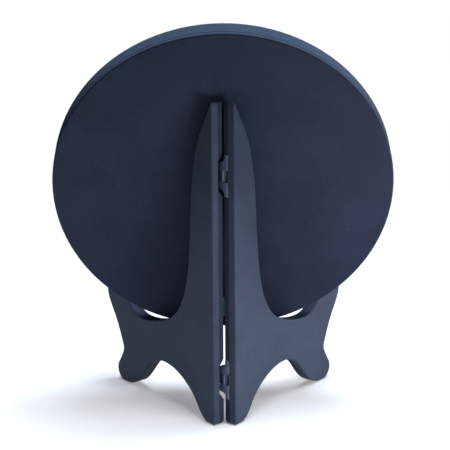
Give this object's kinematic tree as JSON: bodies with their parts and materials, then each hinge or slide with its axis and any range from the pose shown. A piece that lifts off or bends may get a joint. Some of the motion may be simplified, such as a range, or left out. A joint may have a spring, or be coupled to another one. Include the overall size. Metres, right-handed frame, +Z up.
{
  "type": "easel notice board",
  "caption": "Round notice board leaning in a folding easel of hinged leaves with cradle hooks.",
  "frame": {"origin": "on the floor under the middle of the whole object's box, board standing on the open easel", "axes": "+Z up; the display face looks towards -Y and leans back; the hinge of the easel is at +Y"},
  "size_m": [0.3, 0.1403, 0.3603],
  "materials": {
    "stand_plastic": "fine moulded grain",
    "hinge_plastic": "fine moulded grain",
    "pin_steel": "dark oxide",
    "screw_steel": "dark oxide",
    "board_plastic": "fine moulded grain",
    "core_board": "raw",
    "display_sheet": "satin",
    "label_paper": "matte"
  },
  "bodies": {
    "lug_leaf": {"lug_leaf_outer_plate": "stand_plastic", "lug_leaf_inner_plate": "stand_plastic", "lug_leaf_screws": "screw_steel", "upper_lug_bracket": "hinge_plastic", "lower_lug_bracket": "hinge_plastic", "upper_hinge_pin": "pin_steel", "lower_hinge_pin": "pin_steel"},
    "hook_leaf": {"hook_leaf_outer_plate": "stand_plastic", "hook_leaf_inner_plate": "stand_plastic", "hook_leaf_screws": "screw_steel", "upper_hook_bracket": "hinge_plastic", "lower_hook_bracket": "hinge_plastic"},
    "board": {"board_back_panel": "board_plastic", "board_front_tray": "board_plastic", "board_core": "core_board", "board_front_sheet": "display_sheet", "board_back_label": "label_paper"}
  },
  "joints": [
    {"name": "board_lift", "type": "slide", "parent": "lug_leaf", "child": "board", "axis": [0, 0, 1], "range_m": [0, 0.3]},
    {"name": "leaf_fold", "type": "hinge", "parent": "lug_leaf", "child": "hook_leaf", "pos_m": [-0.0014, 0.05788, 0.2302], "axis": [0, 0, -1], "range_deg": [0, 76]}
  ],
  "couplings": [
    {"joint": "leaf_fold", "follows": "board_lift", "rad_per_m": 4.421}
  ]
}
